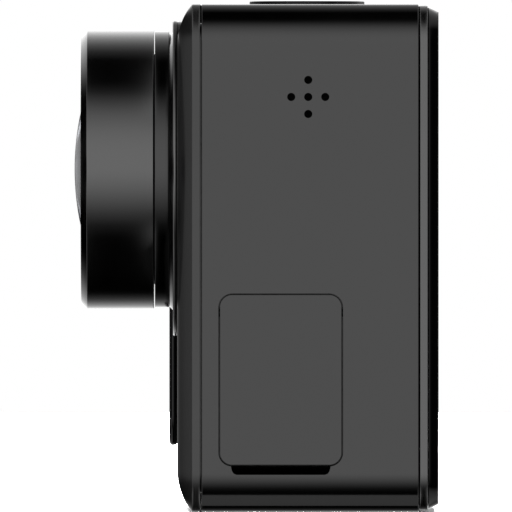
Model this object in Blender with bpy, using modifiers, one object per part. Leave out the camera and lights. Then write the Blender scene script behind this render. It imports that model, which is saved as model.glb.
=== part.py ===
"""A box-shaped action camera: round lens on the front, touchscreen on the back.

The lens points along -Y, +Z is up, and the port side is +X. The origin is the bottom centre.
Lengths below are in millimetres and are scaled to metres where each mesh is made.
"""
import math

import bmesh
import bpy
from mathutils import Matrix, Vector

MM = 0.001

# Body
WIDTH = 65.0
BODY_HEIGHT = 41.65
CORNER = 3.2
WALL = 1.5
SEAM = 0.1
FRAME_Y = (-4.47, 13.33)
COVER_Y = (-6.47, -4.58)
COVER_SKIN = 1.2
EDGE_RADIUS = 5.2
EDGE_INSET = 3.36
BEZEL_Y = (13.43, 14.08)
BEZEL_INSET = 0.12
GLASS_Y = (14.14, 15.0)
GLASS_EDGE = 0.11
GLASS_INSET = (0.2, 0.55)

# Front panel
PANEL_X = (-28.6, 0.4)
PANEL_Y = (-7.1, -6.55)
PANEL_Z = (4.92, 36.7)
PANEL_CORNER = 2.5
LIGHT_X = -25.0
MICROPHONE_X = -22.3
FRONT_HOLE_Z = 33.0

# Lens, as radius and as distance ahead of the origin
LENS_X = 15.0
LENS_Z = 28.05
BARREL_RADIUS = 11.47
BARREL_FRONT = 14.33
BARREL_REAR = 8.44
BARREL_CHAMFER = 0.47
COLLAR_RADIUS = 11.41
COLLAR_AHEAD = (7.18, 8.34)
BASE_RADIUS = 13.78
BASE_TOP_Z = 40.3
BASE_AHEAD = (6.55, 6.92)
SLEEVE_RADIUS = 10.9
SLEEVE_BORE = 10.2
GLASS_TIP = 15.0
GLASS_SPHERE = 20.7
GLASS_BACK_SPHERE = 12.0
FRONT_GLASS_RADIUS = 6.4
TRIM_RADIUS = 10.35
HOUSING_RADIUS = 9.5
MOUNT_RADIUS = 5.9

# Shutter button
BUTTON_X = -14.0
BUTTON_Y = 4.28
BUTTON_RADIUS = 4.815
BUTTON_TOP = 42.0

# Port door on the +X side
DOOR_Y = (-2.98, 7.03)
DOOR_Z = (3.87, 17.85)
DOOR_CORNER = 1.03
DOOR_THICKNESS = 1.3
PIN_INSET = 1.5
PIN_DEPTH = 0.5
PIN_RADIUS = 0.3
PIN_HOLE = 0.36
RECESS_FLOOR = 29.0
NOTCH_Y = (-2.05, 6.11)
NOTCH_Z = (3.08, 3.9)
CONNECTOR_Y = (0.42, 3.64)
CONNECTOR_Z = (6.42, 15.28)

# Speaker
SPEAKER_Y = 4.28
SPEAKER_Z = 34.05
SPEAKER_HOLE = 0.33
SPEAKER_PITCH = 1.395

# Battery bay on the -X side, open at the bottom
BATTERY_X = (-26.2, -5.2)
BATTERY_Y = (-2.0, 8.0)
BATTERY_Z = (3.0, 35.5)
TRAY_X = (-27.2, -4.2)
TRAY_Y = (-3.0, 11.05)
TRAY_Z = (2.6, 36.6)
CARD_BAY_X = (-23.0, -8.0)
CARD_BAY_Y = (9.0, 11.2)
CARD_BAY_TOP = 19.0
HATCH_X = (-27.9, -3.5)
HATCH_Y = (-2.9, 11.3)
HATCH_Z = (0.15, 1.45)
HATCH_CORNER = 1.6
LATCH_SLOT_X = (-27.1, -23.3)
LATCH_SLOT_Y = (2.1, 6.3)

# Tripod socket
SOCKET_X = 9.5
SOCKET_Y = 4.43
SOCKET_BORE = 3.175
SOCKET_RADIUS = 4.5
SOCKET_Z = (0.1, 7.5)
SOCKET_DEPTH = 6.2

# Circuit boards and display
SENSOR_BOARD_Y = (2.75, 3.65)
SPREADER_Y = (4.2, 5.8)
MAIN_BOARD_X = (-3.2, 26.3)
MAIN_BOARD_Y = (7.85, 8.65)
MAIN_BOARD_Z = (9.0, 39.2)
BRACKET_Y = (11.25, 11.75)
DISPLAY_X = (-25.5, 25.5)
DISPLAY_Y = (11.95, 13.95)
DISPLAY_Z = (6.5, 35.5)
BRACKET_SCREWS = [(-29.2, 3.8), (29.2, 3.8), (-29.2, 37.4), (29.2, 37.4)]
BOARD_SCREWS = [(5.0, 37.2), (24.6, 19.0)]
BOSS_FRONT = 8.9

# Colour, roughness, metallic
FINISHES = {
    "anodised": ((0.08, 0.08, 0.085), 0.45, 0.6),
    "black_plastic": ((0.012, 0.012, 0.013), 0.4, 0.0),
    "gloss_black": ((0.006, 0.006, 0.007), 0.12, 0.0),
    "grey_plastic": ((0.075, 0.075, 0.078), 0.5, 0.0),
    "steel": ((0.55, 0.55, 0.56), 0.35, 1.0),
    "aluminium": ((0.7, 0.7, 0.72), 0.4, 1.0),
    "brass": ((0.75, 0.55, 0.25), 0.3, 1.0),
    "gold": ((0.9, 0.68, 0.3), 0.3, 1.0),
    "optical_glass": ((0.5, 0.55, 0.58), 0.02, 0.0),
    "rubber": ((0.02, 0.02, 0.02), 0.8, 0.0),
    "board": ((0.01, 0.09, 0.05), 0.5, 0.0),
    "chip": ((0.02, 0.02, 0.022), 0.55, 0.0),
    "polyimide": ((0.35, 0.14, 0.02), 0.45, 0.0),
    "battery_wrap": ((0.03, 0.03, 0.035), 0.5, 0.0),
    "light_diffuser": ((0.75, 0.75, 0.75), 0.35, 0.0),
}

FRONT = (math.pi / 2, 0.0, 0.0)
UP = (0.0, 0.0, 0.0)
SIDE = (0.0, math.pi / 2, 0.0)


def clear_scene():
    for old in list(bpy.data.objects):
        bpy.data.objects.remove(old)


def make_collection(name):
    made = bpy.data.collections.new(name)
    bpy.context.scene.collection.children.link(made)
    return made


def around(centre, half):
    return (centre - half, centre + half)


def grow(span, by):
    return (span[0] - by, span[1] + by)


def make_material(name, finish):
    colour, roughness, metallic = FINISHES[finish]
    made = bpy.data.materials.new(name)
    made.use_nodes = True
    shader = made.node_tree.nodes["Principled BSDF"]
    shader.inputs["Base Color"].default_value = (*colour, 1.0)
    shader.inputs["Roughness"].default_value = roughness
    shader.inputs["Metallic"].default_value = metallic
    return made


def add_object(name, mesh, finish):
    """A finish makes the object a part; without one it is a cutter."""
    made = bpy.data.objects.new(name, mesh)
    if finish:
        parts.objects.link(made)
        mesh.materials.append(make_material(name, finish))
    else:
        cutters.objects.link(made)
        made.hide_render = True
        made.display_type = "WIRE"
    return made


def mesh_from(name, bm, smooth_angle=30.0):
    mesh = bpy.data.meshes.new(name)
    bm.to_mesh(mesh)
    bm.free()
    mesh.shade_smooth()
    mesh.set_sharp_from_angle(angle=math.radians(smooth_angle))
    return mesh


def box(name, x, y, z, finish=None, along=None, radius=0.0, segments=3, pivot=None):
    """A box over three spans, with the four edges along one axis rounded."""
    low = Vector((x[0], y[0], z[0])) * MM
    high = Vector((x[1], y[1], z[1])) * MM
    origin = Vector(pivot) * MM if pivot else (low + high) / 2
    size = high - low
    bm = bmesh.new()
    place = Matrix.Translation((low + high) / 2 - origin) @ Matrix.Diagonal((*size, 1.0))
    bmesh.ops.create_cube(bm, size=1.0, matrix=place)
    if along is not None:
        half = size[along] / 2
        edges = [e for e in bm.edges if abs((e.verts[0].co - e.verts[1].co)[along]) > half]
        bmesh.ops.bevel(bm, geom=edges, offset=radius * MM, segments=segments, profile=0.5, affect="EDGES")
    made = add_object(name, mesh_from(name, bm), finish)
    made.location = origin
    return made


def turned(name, profile, centre, facing, finish=None, steps=24, closed=True):
    """A profile of (radius, height) turned about its own axis; the outer side runs downwards."""
    count = len(profile)
    points = [(r * MM, 0.0, h * MM) for r, h in profile]
    edges = [(i, i + 1) for i in range(count - 1)]
    if closed:
        edges.append((count - 1, 0))
    mesh = bpy.data.meshes.new(name)
    mesh.from_pydata(points, edges, [])
    made = add_object(name, mesh, finish)
    made.location = Vector(centre) * MM
    made.rotation_euler = facing
    screw = made.modifiers.new("turn", "SCREW")
    screw.steps = steps
    screw.render_steps = steps
    screw.use_merge_vertices = True
    screw.merge_threshold = 1e-6
    screw.use_smooth_shade = True
    return made


def rod(name, radius, span, centre, facing, finish=None, sides=16):
    """A plain cylinder over a span of heights along its own axis."""
    low, high = span
    profile = [(0.0, high), (radius, high), (radius, low), (0.0, low)]
    return turned(name, profile, centre, facing, finish, sides, closed=False)


def combine(target, tool, operation="DIFFERENCE"):
    change = target.modifiers.new(tool.name, "BOOLEAN")
    change.operation = operation
    change.solver = "EXACT"
    change.object = tool


def soften(target, width, segments=1):
    """A small bevel on every edge that turns by more than 50 degrees."""
    bevel = target.modifiers.new("edges", "BEVEL")
    bevel.width = width * MM
    bevel.segments = segments
    bevel.limit_method = "ANGLE"
    bevel.angle_limit = math.radians(50.0)


def outline(inset, radius, y, segments=5):
    """A rounded rectangle in the XZ plane, inset from the body's outline."""
    half_x = WIDTH / 2 - inset
    half_z = BODY_HEIGHT / 2 - inset
    points = []
    for quarter, (sx, sz) in enumerate([(1, 1), (-1, 1), (-1, -1), (1, -1)]):
        cx = sx * (half_x - radius)
        cz = BODY_HEIGHT / 2 + sz * (half_z - radius)
        for step in range(segments + 1):
            angle = math.pi / 2 * (quarter + step / segments)
            points.append((cx + radius * math.cos(angle), y, cz + radius * math.sin(angle)))
    return points


def loft(name, stations, finish):
    """A solid through rounded rectangles, each given as (y, inset, corner radius)."""
    bm = bmesh.new()
    rings = [[bm.verts.new(Vector(p) * MM) for p in outline(inset, radius, y)]
             for y, inset, radius in stations]
    for first, second in zip(rings, rings[1:]):
        count = len(first)
        for i in range(count):
            j = (i + 1) % count
            bm.faces.new((first[i], first[j], second[j], second[i]))
    bm.faces.new(rings[0])
    bm.faces.new(rings[-1])
    bmesh.ops.recalc_face_normals(bm, faces=bm.faces)
    return add_object(name, mesh_from(name, bm), finish)


def ribbon(name, path, x, thickness, finish):
    """A flat strip that follows a path of (y, z) points, spanning x."""
    bm = bmesh.new()
    left = [bm.verts.new(Vector((x[0], y, z)) * MM) for y, z in path]
    right = [bm.verts.new(Vector((x[1], y, z)) * MM) for y, z in path]
    for i in range(len(path) - 1):
        bm.faces.new((left[i], left[i + 1], right[i + 1], right[i]))
    made = add_object(name, mesh_from(name, bm), finish)
    solid = made.modifiers.new("thickness", "SOLIDIFY")
    solid.thickness = thickness * MM
    solid.offset = 0.0
    return made


def build_mid_frame():
    """The four-walled shell with its bosses, port recess, battery opening and holes."""
    frame = box("mid_frame", around(0, WIDTH / 2), FRAME_Y, (0, BODY_HEIGHT), "anodised",
                along=1, radius=CORNER, segments=5)
    inside = box("frame_cavity", around(0, WIDTH / 2 - WALL), grow(FRAME_Y, 1), (WALL, BODY_HEIGHT - WALL),
                 along=1, radius=CORNER - WALL, segments=3)
    combine(frame, inside)
    port_boss = box("port_boss", (RECESS_FLOOR - 0.8, WIDTH / 2 - 1), (-4.0, 8.1), (0.5, 19.2))
    combine(frame, port_boss, "UNION")
    socket_boss = box("socket_boss", around(SOCKET_X, 5.3), around(SOCKET_Y, 5.35), (0.5, 6.8))
    combine(frame, socket_boss, "UNION")
    for number, (x, z) in enumerate(BRACKET_SCREWS):
        outer_x = math.copysign(WIDTH / 2 - 1, x)
        outer_z = 0.5 if z < BODY_HEIGHT / 2 else BODY_HEIGHT - 0.5
        inner_x = x - math.copysign(1.3, x)
        inner_z = z + math.copysign(1.3, BODY_HEIGHT / 2 - z)
        boss = box(f"screw_boss_{number}", sorted((inner_x, outer_x)), (BOSS_FRONT, BRACKET_Y[0] - SEAM),
                   sorted((inner_z, outer_z)))
        combine(frame, boss, "UNION")
        combine(frame, rod(f"screw_hole_{number}", 0.65, (-12, -9.3), (x, 0, z), FRONT, sides=12))
    recess = box("port_recess", (RECESS_FLOOR, WIDTH / 2 + 1), grow(DOOR_Y, SEAM), grow(DOOR_Z, SEAM),
                 along=0, radius=DOOR_CORNER + SEAM)
    combine(frame, recess)
    combine(frame, box("thumb_notch", (31.2, WIDTH / 2 + 1), NOTCH_Y, NOTCH_Z, along=0, radius=0.3))
    combine(frame, box("connector_mouth", (27, 30), grow(CONNECTOR_Y, 0.12), grow(CONNECTOR_Z, 0.12)))
    port_pin_at = (WIDTH / 2 - PIN_DEPTH, 0, DOOR_Z[1] - PIN_INSET)
    combine(frame, rod("port_pin_hole", PIN_HOLE, (-7.8, 3.75), port_pin_at, FRONT, sides=12))
    combine(frame, box("hatch_opening", grow(HATCH_X, SEAM), grow(HATCH_Y, SEAM), (-1, 2),
                       along=2, radius=HATCH_CORNER + SEAM))
    hatch_pin_at = (HATCH_X[1] - PIN_INSET, 0, HATCH_Z[0] + PIN_DEPTH)
    combine(frame, rod("hatch_pin_hole", PIN_HOLE, (-12.1, 3.65), hatch_pin_at, FRONT, sides=12))
    combine(frame, rod("socket_hole", SOCKET_RADIUS + SEAM, (-1, 8), (SOCKET_X, SOCKET_Y, 0), UP, sides=32))
    combine(frame, rod("button_hole", BUTTON_RADIUS + SEAM, (39, 43), (BUTTON_X, BUTTON_Y, 0), UP, sides=48))
    offsets = [(0, 0), (1, 0), (-1, 0), (0, 1), (0, -1)]
    for number, (dy, dz) in enumerate(offsets):
        at = (0, SPEAKER_Y + dy * SPEAKER_PITCH, SPEAKER_Z + dz * SPEAKER_PITCH)
        combine(frame, rod(f"speaker_hole_{number}", SPEAKER_HOLE, (30, 34), at, SIDE, sides=12))


def build_front_cover():
    """A shallow dish whose edge is an arc that meets the side at a sharp line."""
    centre_y = COVER_Y[0] + EDGE_RADIUS
    stations = [(COVER_Y[1], 0.0, CORNER)]
    arcs = 5
    start = math.asin(EDGE_INSET / EDGE_RADIUS)
    for step in range(arcs + 1):
        angle = start * (1 - step / arcs)
        inset = EDGE_INSET - EDGE_RADIUS * math.sin(angle)
        stations.append((centre_y - EDGE_RADIUS * math.cos(angle), inset, CORNER - 0.75 * inset))
    cover = loft("front_cover", stations, "grey_plastic")
    combine(cover, box("cover_cavity", around(0, WIDTH / 2 - WALL), (COVER_Y[0] + COVER_SKIN, 0),
                       (WALL, BODY_HEIGHT - WALL), along=1, radius=CORNER - WALL))
    combine(cover, rod("lens_opening", SLEEVE_RADIUS + 0.15, (3, 8), (LENS_X, 0, LENS_Z), FRONT, sides=40))
    for name, x, radius in (("light", LIGHT_X, 0.8), ("microphone", MICROPHONE_X, 0.45)):
        combine(cover, rod(f"cover_{name}_hole", radius, (3, 8), (x, 0, FRONT_HOLE_Z), FRONT, sides=12))


def build_front_panel():
    panel = box("front_panel", PANEL_X, PANEL_Y, PANEL_Z, "gloss_black", along=1, radius=PANEL_CORNER, segments=5)
    soften(panel, 0.3)
    for name, x, radius in (("light", LIGHT_X, 0.8), ("microphone", MICROPHONE_X, 0.45)):
        combine(panel, rod(f"panel_{name}_hole", radius, (3, 8), (x, 0, FRONT_HOLE_Z), FRONT, sides=12))
    rod("status_light", 0.68, (5.4, 7.05), (LIGHT_X, 0, FRONT_HOLE_Z), FRONT, "light_diffuser", sides=12)
    box("microphone", around(MICROPHONE_X, 1.3), (-5.15, -4.1), around(FRONT_HOLE_Z, 1.0), "aluminium")


def lens_part(name, profile, finish, steps=40, closed=True):
    return turned(name, profile, (LENS_X, 0, LENS_Z), FRONT, finish, steps, closed)


def build_lens_outside():
    """Base ring, collar, barrel, trim and domed front glass, all about the lens axis."""
    rear, front = BASE_AHEAD
    sleeve_rear = -COVER_Y[1] + 0.3
    base = lens_part("lens_base_ring", [
        (SLEEVE_RADIUS, COLLAR_AHEAD[0] - 0.08), (11.5, 7.03), (12.1, front), (13.6, front - 0.02),
        (BASE_RADIUS, front - 0.15), (BASE_RADIUS, rear), (SLEEVE_RADIUS, rear),
        (SLEEVE_RADIUS, sleeve_rear), (SLEEVE_BORE, sleeve_rear), (SLEEVE_BORE, COLLAR_AHEAD[0] - 0.08),
    ], "grey_plastic", steps=56)
    combine(base, box("base_flat", around(LENS_X, 20), (-9, -4), (BASE_TOP_Z, 50)))
    lens_part("lens_collar", [
        (COLLAR_RADIUS, COLLAR_AHEAD[1]), (COLLAR_RADIUS, COLLAR_AHEAD[0]),
        (SLEEVE_BORE, COLLAR_AHEAD[0]), (SLEEVE_BORE, COLLAR_AHEAD[1]),
    ], "anodised")
    lens_part("lens_barrel", [
        (BARREL_RADIUS - BARREL_CHAMFER, BARREL_FRONT), (BARREL_RADIUS, BARREL_FRONT - BARREL_CHAMFER),
        (BARREL_RADIUS, BARREL_REAR), (9.9, BARREL_REAR), (9.9, 12.6),
        (TRIM_RADIUS + SEAM, 12.6), (TRIM_RADIUS + SEAM, BARREL_FRONT),
    ], "anodised", steps=56)
    lens_part("lens_front_trim", [
        (TRIM_RADIUS, BARREL_FRONT - 0.05), (TRIM_RADIUS, 12.75),
        (FRONT_GLASS_RADIUS + 0.12, 12.75), (FRONT_GLASS_RADIUS + 0.12, 13.9),
    ], "black_plastic")


def cap_height(sphere, top, radius):
    """Height of a sphere's surface at a radius from the axis, below its top."""
    return top - sphere + math.sqrt(sphere ** 2 - radius ** 2)


def glass_profile(radius, front_top, front_sphere, back_top, back_sphere, back_radius, rings=4):
    """A lens from its front pole to its back pole; the back is hollow where its sphere is finite."""
    steps = range(rings + 1)
    front = [(radius * i / rings, cap_height(front_sphere, front_top, radius * i / rings)) for i in steps]
    back = [(back_radius * i / rings, cap_height(back_sphere, back_top, back_radius * i / rings))
            for i in reversed(steps)]
    rim = (radius, back[0][1])
    return front + [rim] + back


def build_lens_inside():
    """Housing, retainer and the glass elements between the front glass and the sensor."""
    front = glass_profile(FRONT_GLASS_RADIUS, GLASS_TIP, GLASS_SPHERE, 13.8, GLASS_BACK_SPHERE, 5.6)
    lens_part("front_lens", front, "optical_glass", steps=32, closed=False)
    lens_part("lens_retainer", [
        (9.4, 12.66), (9.4, 12.4), (FRONT_GLASS_RADIUS + 0.12, 12.4), (FRONT_GLASS_RADIUS + 0.12, 12.66),
    ], "black_plastic", steps=24)
    lens_part("lens_housing", [
        (HOUSING_RADIUS, 12.28), (HOUSING_RADIUS, 4.6), (MOUNT_RADIUS, 4.6), (MOUNT_RADIUS, -0.9),
        (4.2, -0.9), (4.2, 5.2), (5.3, 5.2), (5.3, 9.2), (6.2, 9.2), (6.2, 12.28),
    ], "black_plastic", steps=32)
    second = glass_profile(6.05, 11.4, 22.0, 9.5, 300.0, 5.2, rings=3)
    lens_part("lens_element_second", second, "optical_glass", steps=24, closed=False)
    third = glass_profile(5.15, 8.9, 11.0, 6.9, 30.0, 4.4, rings=3)
    lens_part("lens_element_third", third, "optical_glass", steps=24, closed=False)
    lens_part("lens_spacer", [(5.15, 6.3), (5.15, 5.35), (4.5, 5.35), (4.5, 6.3)], "black_plastic", steps=24)
    rear = glass_profile(4.05, 3.2, 9.0, 0.9, 300.0, 3.4, rings=3)
    lens_part("lens_element_rear", rear, "optical_glass", steps=24, closed=False)
    holder = box("lens_holder", around(LENS_X, 8.5), (-4.3, 1.6), around(LENS_Z, 8.5), "black_plastic",
                 along=1, radius=1.0)
    combine(holder, rod("holder_bore", MOUNT_RADIUS + SEAM, (-1.0, 5), (LENS_X, 0, LENS_Z), FRONT, sides=32))
    combine(holder, box("holder_pocket", around(LENS_X, 5.2), (0.9, 2), around(LENS_Z, 4.6)))
    box("ir_filter", around(LENS_X, 4.4), (1.15, 1.5), around(LENS_Z, 3.8), "optical_glass")


def build_boards():
    """Image sensor, its board, the heat spreader, the main board and what is soldered to it."""
    box("image_sensor", around(LENS_X, 4.5), (1.75, 2.6), around(LENS_Z, 3.9), "chip")
    box("sensor_board", around(LENS_X, 11), SENSOR_BOARD_Y, around(LENS_Z, 10), "board", along=1, radius=0.8)
    spreader = box("heat_spreader", (3.2, 26.2), SPREADER_Y, (17.0, 39.0), "aluminium", along=1, radius=1.2)
    board = box("main_board", MAIN_BOARD_X, MAIN_BOARD_Y, MAIN_BOARD_Z, "board", along=1, radius=0.8)
    for number, (x, z) in enumerate(BOARD_SCREWS):
        post = rod(f"post_{number}", 1.3, (SEAM - MAIN_BOARD_Y[0], -5.0), (x, 0, z), FRONT, sides=16)
        combine(spreader, post, "UNION")
        combine(spreader, rod(f"post_hole_{number}", 0.65, (-9, -6.0), (x, 0, z), FRONT, sides=12))
        combine(board, rod(f"board_hole_{number}", 0.75, (-9, -7), (x, 0, z), FRONT, sides=12))
        add_screw(f"board_screw_{number + 1}", x, z, MAIN_BOARD_Y[1] + SEAM, 2.5)
    box("processor", (8.0, 22.0), (6.6, 7.75), (20.0, 34.0), "chip")
    shield = box("board_shield", (4.0, 23.0), (8.75, 10.3), (14.0, 34.0), "steel", along=1, radius=0.6)
    combine(shield, box("shield_cavity", (4.3, 22.7), (8.0, 10.0), (14.3, 33.7)))
    box("wifi_antenna", (4.0, 24.0), (5.6, 10.4), (39.55, 39.85), "polyimide")
    ribbon("sensor_flex", [(3.2, 17.85), (3.2, 16.6), (5.0, 15.6), (7.0, 15.4), (7.7, 14.6), (7.7, 12.0)],
           (7.0, 15.0), 0.15, "polyimide")
    ribbon("display_flex", [(12.9, 6.3), (12.9, 5.2), (12.3, 4.9), (10.3, 4.9), (9.3, 5.8), (8.95, 7.2), (8.95, 12.0)],
           (17.0, 24.0), 0.15, "polyimide")


def add_screw(name, x, z, seat_y, length):
    """A flat-headed machine screw that points forwards, with a cross-shaped driver recess."""
    head_y = seat_y + 0.55
    profile = [(0.0, -head_y + 0.55 + length), (0.55, -seat_y + length), (0.55, -seat_y),
               (1.05, -seat_y), (1.05, -head_y), (0.0, -head_y)]
    screw = turned(name, profile, (x, 0, z), FRONT, "steel", 16, closed=False)
    for axis, (wide, tall) in enumerate([(0.65, 0.14), (0.14, 0.65)]):
        slot = box(f"{name}_slot_{axis}", around(x, wide), (head_y - 0.3, head_y + 1), around(z, tall))
        combine(screw, slot)


def build_display():
    """Bezel, touch glass, display panel and the bracket that holds them to the frame."""
    bezel = box("rear_bezel", around(0, WIDTH / 2 - BEZEL_INSET), BEZEL_Y,
                (BEZEL_INSET, BODY_HEIGHT - BEZEL_INSET), "aluminium", along=1, radius=CORNER - BEZEL_INSET, segments=5)
    combine(bezel, box("bezel_window", grow(DISPLAY_X, 1), grow(BEZEL_Y, 1), grow(DISPLAY_Z, 0.9), along=1, radius=1.0))
    first, last = GLASS_INSET
    loft("screen_glass", [
        (GLASS_Y[0], first, CORNER - first), (GLASS_Y[1] - GLASS_EDGE, last, CORNER - last),
        (GLASS_Y[1], last, CORNER - last),
    ], "gloss_black")
    box("display_panel", DISPLAY_X, DISPLAY_Y, DISPLAY_Z, "chip")
    bracket = box("display_bracket", around(0, 30.6), BRACKET_Y, (2.2, 39.4), "steel", along=1, radius=1.3)
    combine(bracket, box("flex_slot", (16.5, 24.5), grow(BRACKET_Y, 1), (4.4, 5.4)))
    for number, (x, z) in enumerate(BRACKET_SCREWS):
        combine(bracket, rod(f"bracket_hole_{number}", 0.7, (-13, -10), (x, 0, z), FRONT, sides=12))
        add_screw(f"bracket_screw_{number + 1}", x, z, BRACKET_Y[1] + SEAM, 2.0)


def build_shutter():
    """A round button that travels down on its switch, sealed by a ring under the top wall."""
    at = (BUTTON_X, BUTTON_Y, 0)
    edge = 0.12
    turned("shutter_button", [
        (0.0, BUTTON_TOP), (BUTTON_RADIUS - edge, BUTTON_TOP), (BUTTON_RADIUS, BUTTON_TOP - edge),
        (BUTTON_RADIUS, 40.0), (5.6, 40.0), (5.6, 39.6), (1.5, 39.6), (1.5, 39.4), (0.0, 39.4),
    ], at, UP, "anodised", 48, closed=False)
    turned("shutter_seal", [(7.0, 40.05), (7.0, 38.9), (5.8, 38.9), (5.8, 40.05)], at, UP, "rubber", 24)
    turned("shutter_switch", [(0.0, 39.0), (1.2, 39.0), (1.2, 38.6), (2.6, 38.6), (2.6, 37.45), (0.0, 37.45)],
           at, UP, "steel", 16, closed=False)
    box("switch_board", around(BUTTON_X, 6.0), around(BUTTON_Y, 3.5), (36.75, 37.35), "board")


def build_port():
    """The hinged port door with its gasket and pin, and the connector behind it."""
    outer = WIDTH / 2
    pivot = (outer - PIN_DEPTH, sum(DOOR_Y) / 2, DOOR_Z[1] - PIN_INSET)
    door = box("port_door", (outer - DOOR_THICKNESS, outer), DOOR_Y, DOOR_Z, "anodised",
               along=0, radius=DOOR_CORNER, segments=4, pivot=pivot)
    soften(door, 0.12)
    pin_at = (pivot[0], 0, pivot[2])
    combine(door, rod("port_door_bore", PIN_RADIUS + 0.08, (-9, 5), pin_at, FRONT, sides=12))
    box("port_door_gasket", (29.3, outer - DOOR_THICKNESS - SEAM), (-1.6, 5.65), (5.2, 14.6), "rubber",
        along=0, radius=1.5, pivot=pivot)
    rod("port_door_pin", PIN_RADIUS, (-7.65, 3.6), pin_at, FRONT, "steel", sides=12)
    connector = box("port_connector", (21.7, RECESS_FLOOR), CONNECTOR_Y, CONNECTOR_Z, "steel", along=0, radius=1.4)
    combine(connector, box("connector_hollow", (24.0, 30), grow(CONNECTOR_Y, -0.35), grow(CONNECTOR_Z, -0.35),
                           along=0, radius=1.1))
    middle = sum(CONNECTOR_Y) / 2
    tongue = box("connector_tongue", (23.0, 28.4), around(middle, 0.35), grow(CONNECTOR_Z, -1.1))
    combine(connector, tongue, "UNION")
    box("port_board", (17.0, 28.0), (3.75, 4.55), (4.0, 16.6), "board")


def build_speaker():
    y = around(SPEAKER_Y, 4.0)
    z = around(SPEAKER_Z, 4.0)
    box("speaker", (26.6, 30.45), y, z, "black_plastic", along=0, radius=1.0)
    box("speaker_mesh", (30.55, 30.85), y, z, "steel", along=0, radius=1.0)


def build_battery_bay():
    """Tray, battery, contacts, memory card and its socket, all above the battery door."""
    tray = box("battery_tray", TRAY_X, TRAY_Y, TRAY_Z, "black_plastic", along=2, radius=0.8)
    combine(tray, box("battery_pocket", grow(BATTERY_X, 0.2), grow(BATTERY_Y, 0.2), (0, 35.7)))
    combine(tray, box("contact_window", (-25.0, -18.0), (0.0, 6.0), (35, 38)))
    combine(tray, box("card_bay", CARD_BAY_X, CARD_BAY_Y, (0, CARD_BAY_TOP)))
    battery = box("battery", BATTERY_X, BATTERY_Y, BATTERY_Z, "battery_wrap", along=2, radius=1.5)
    soften(battery, 0.3)
    box("battery_contacts", (-24.8, -18.2), (0.2, 5.8), (35.75, 36.5), "gold")
    socket = box("card_socket", (-22.5, -8.5), (9.1, 10.95), (3.6, 18.6), "steel")
    combine(socket, box("card_slot", (-21.2, -9.8), (9.35, 10.55), (2, 17.9)))
    box("memory_card", (-21.0, -10.0), (9.45, 10.45), (2.9, 17.8), "gloss_black")


def build_battery_door():
    """The bottom hatch on its pin, with a seal inside and a latch that slides in a slot."""
    pivot = (HATCH_X[1] - PIN_INSET, sum(HATCH_Y) / 2, HATCH_Z[0] + PIN_DEPTH)
    door = box("battery_door", HATCH_X, HATCH_Y, HATCH_Z, "anodised", along=2, radius=HATCH_CORNER,
               segments=4, pivot=pivot)
    soften(door, 0.12)
    pin_at = (pivot[0], 0, pivot[2])
    combine(door, rod("battery_door_bore", PIN_RADIUS + 0.08, (-14, 6), pin_at, FRONT, sides=12))
    combine(door, box("latch_slot", LATCH_SLOT_X, LATCH_SLOT_Y, (-1, 3)))
    seal = box("battery_door_seal", (-21.4, -8.2), (-2.2, 10.6), (1.55, 2.3), "rubber", along=2, radius=1.0, pivot=pivot)
    combine(seal, box("seal_hole", (-20.5, -9.1), (-1.3, 9.7), (1, 3), along=2, radius=0.6))
    rod("battery_door_pin", PIN_RADIUS, (-11.95, 3.5), pin_at, FRONT, "steel", sides=12)
    latch = box("battery_latch", (-27.0, -22.0), (1.2, 7.2), (1.6, 2.2), "black_plastic", pivot=pivot)
    thumb = box("latch_thumb", (-25.6, -23.4), grow(LATCH_SLOT_Y, -SEAM), (0.3, 1.9))
    combine(latch, thumb, "UNION")


def build_tripod_socket():
    low, high = SOCKET_Z
    turned("tripod_insert", [
        (0.0, high), (5.2, high), (5.2, 6.95), (SOCKET_RADIUS, 6.95), (SOCKET_RADIUS, low),
        (SOCKET_BORE, low), (SOCKET_BORE, SOCKET_DEPTH), (0.0, SOCKET_DEPTH),
    ], (SOCKET_X, SOCKET_Y, 0), UP, "brass", 32, closed=False)


clear_scene()
parts = make_collection("action_camera")
cutters = make_collection("cutters")
build_mid_frame()
build_front_cover()
build_front_panel()
build_lens_outside()
build_lens_inside()
build_boards()
build_display()
build_shutter()
build_port()
build_speaker()
build_battery_bay()
build_battery_door()
build_tripod_socket()
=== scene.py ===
import math
import bmesh
import bpy
import numpy as np
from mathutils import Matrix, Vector


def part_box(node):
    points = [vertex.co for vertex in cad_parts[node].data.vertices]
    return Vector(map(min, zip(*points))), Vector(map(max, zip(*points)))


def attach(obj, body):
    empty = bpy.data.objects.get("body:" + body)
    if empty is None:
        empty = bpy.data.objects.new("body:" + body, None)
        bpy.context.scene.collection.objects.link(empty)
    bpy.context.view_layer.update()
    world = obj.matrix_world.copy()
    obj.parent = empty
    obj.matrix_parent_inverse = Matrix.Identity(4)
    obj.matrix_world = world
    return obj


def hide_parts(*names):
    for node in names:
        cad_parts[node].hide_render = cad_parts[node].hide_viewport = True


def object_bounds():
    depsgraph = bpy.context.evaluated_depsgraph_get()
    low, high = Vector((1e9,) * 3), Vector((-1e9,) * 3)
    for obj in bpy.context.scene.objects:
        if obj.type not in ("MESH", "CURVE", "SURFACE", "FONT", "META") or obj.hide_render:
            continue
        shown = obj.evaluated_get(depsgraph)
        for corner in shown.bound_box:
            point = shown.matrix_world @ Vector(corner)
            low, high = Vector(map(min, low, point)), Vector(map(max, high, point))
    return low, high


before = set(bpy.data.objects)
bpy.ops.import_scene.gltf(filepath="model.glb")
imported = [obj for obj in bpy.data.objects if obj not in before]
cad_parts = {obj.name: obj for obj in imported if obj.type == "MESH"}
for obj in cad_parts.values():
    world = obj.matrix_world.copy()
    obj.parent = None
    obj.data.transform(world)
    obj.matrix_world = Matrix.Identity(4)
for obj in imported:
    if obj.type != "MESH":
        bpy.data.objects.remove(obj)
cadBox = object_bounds()
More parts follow.
